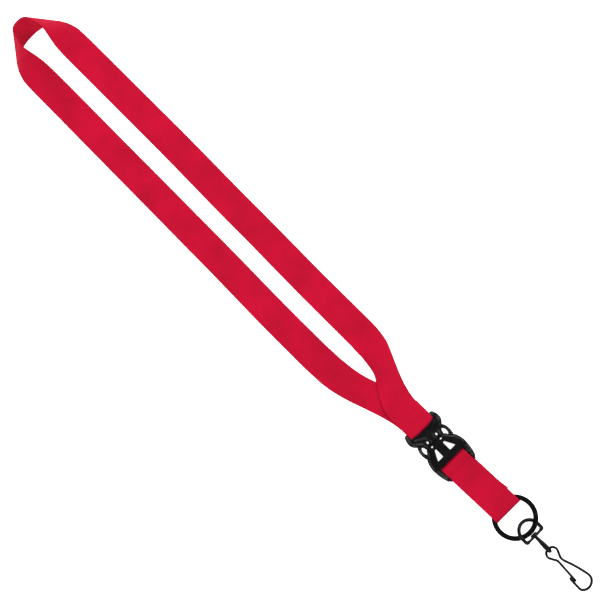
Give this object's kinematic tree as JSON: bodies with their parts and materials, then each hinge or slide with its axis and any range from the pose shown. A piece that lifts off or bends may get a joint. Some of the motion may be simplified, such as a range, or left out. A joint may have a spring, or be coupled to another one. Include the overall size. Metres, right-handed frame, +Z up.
{
  "type": "neck lanyard",
  "caption": "Flat ribbon neck lanyard with a detachable side-squeeze buckle, a short strap, a key ring and a swivel hook with a sprung wire gate.",
  "frame": {"origin": "middle of the footprint of the lanyard lying flat, on the surface it lies on", "axes": "+X across the lanyard, +Y along it from the hook towards the neck, +Z up from the surface"},
  "size_m": [0.052, 0.5307, 0.0193],
  "materials": {
    "ribbon": "woven polyester, satin",
    "thread": "polyester sewing thread",
    "black_plastic": "semi-gloss injection moulding",
    "black_metal": "black oxide and lacquer, semi-gloss"
  },
  "bodies": {
    "neck_loop": {"neck_strap": "ribbon", "neck_seam_thread": "thread"},
    "buckle_male": {"buckle_male_frame": "black_plastic"},
    "arm_left": {"squeeze_arm_left": "black_plastic"},
    "arm_right": {"squeeze_arm_right": "black_plastic"},
    "buckle_female": {"buckle_female_frame": "black_plastic"},
    "lower_strap": {"short_strap": "ribbon", "short_seam_thread": "thread"},
    "ring": {"key_ring": "black_metal"},
    "bail": {"swivel_bail": "black_metal"},
    "post": {"swivel_post": "black_metal"},
    "hook": {"hook_wire": "black_metal"},
    "gate": {"hook_gate_wire": "black_metal"}
  },
  "joints": [
    {"name": "buckle_pivot", "type": "hinge", "parent": "neck_loop", "child": "buckle_male", "pos_m": [0, -0.1206, 0.004], "axis": [1, 0, 0], "range_deg": [-60, 60]},
    {"name": "arm_left_squeeze", "type": "hinge", "parent": "buckle_male", "child": "arm_left", "pos_m": [-0.0099, -0.1286, 0.004], "axis": [0, 0, 1], "range_deg": [0, 5], "stiffness_Nm_per_rad": 0.2},
    {"name": "arm_right_squeeze", "type": "hinge", "parent": "buckle_male", "child": "arm_right", "pos_m": [0.0099, -0.1286, 0.004], "axis": [0, 0, 1], "range_deg": [-5, 0], "stiffness_Nm_per_rad": 0.2},
    {"name": "buckle_release", "type": "slide", "parent": "buckle_male", "child": "buckle_female", "axis": [0, -1, 0], "range_m": [0, 0.015]},
    {"name": "short_strap_pivot", "type": "hinge", "parent": "buckle_female", "child": "lower_strap", "pos_m": [0, -0.15, 0.004], "axis": [-1, 0, 0], "range_deg": [-5, 60]},
    {"name": "ring_swing", "type": "hinge", "parent": "lower_strap", "child": "ring", "pos_m": [0.0015, -0.1841, 0.0038], "axis": [-1, 0, 0], "range_deg": [-60, 60], "deforming": ["short_strap"]},
    {"name": "bail_slide_round_ring", "type": "hinge", "parent": "ring", "child": "bail", "pos_m": [0.0018, -0.2017, 0.0038], "axis": [0, 0, 1], "range_deg": [-60, 60]},
    {"name": "swivel_spin", "type": "hinge", "parent": "bail", "child": "post", "pos_m": [0.0025, -0.2192, 0.0038], "axis": [0, 1, 0], "continuous": true},
    {"name": "hook_pivot", "type": "hinge", "parent": "post", "child": "hook", "pos_m": [0.0025, -0.2306, 0.0038], "axis": [-1, 0, 0], "range_deg": [-90, 90]},
    {"name": "gate_flex", "type": "hinge", "parent": "hook", "child": "gate", "pos_m": [0.0016, -0.24016, 0.0029], "axis": [0, -0.0941, 0.9956], "range_deg": [0, 12], "stiffness_Nm_per_rad": 0.03}
  ]
}
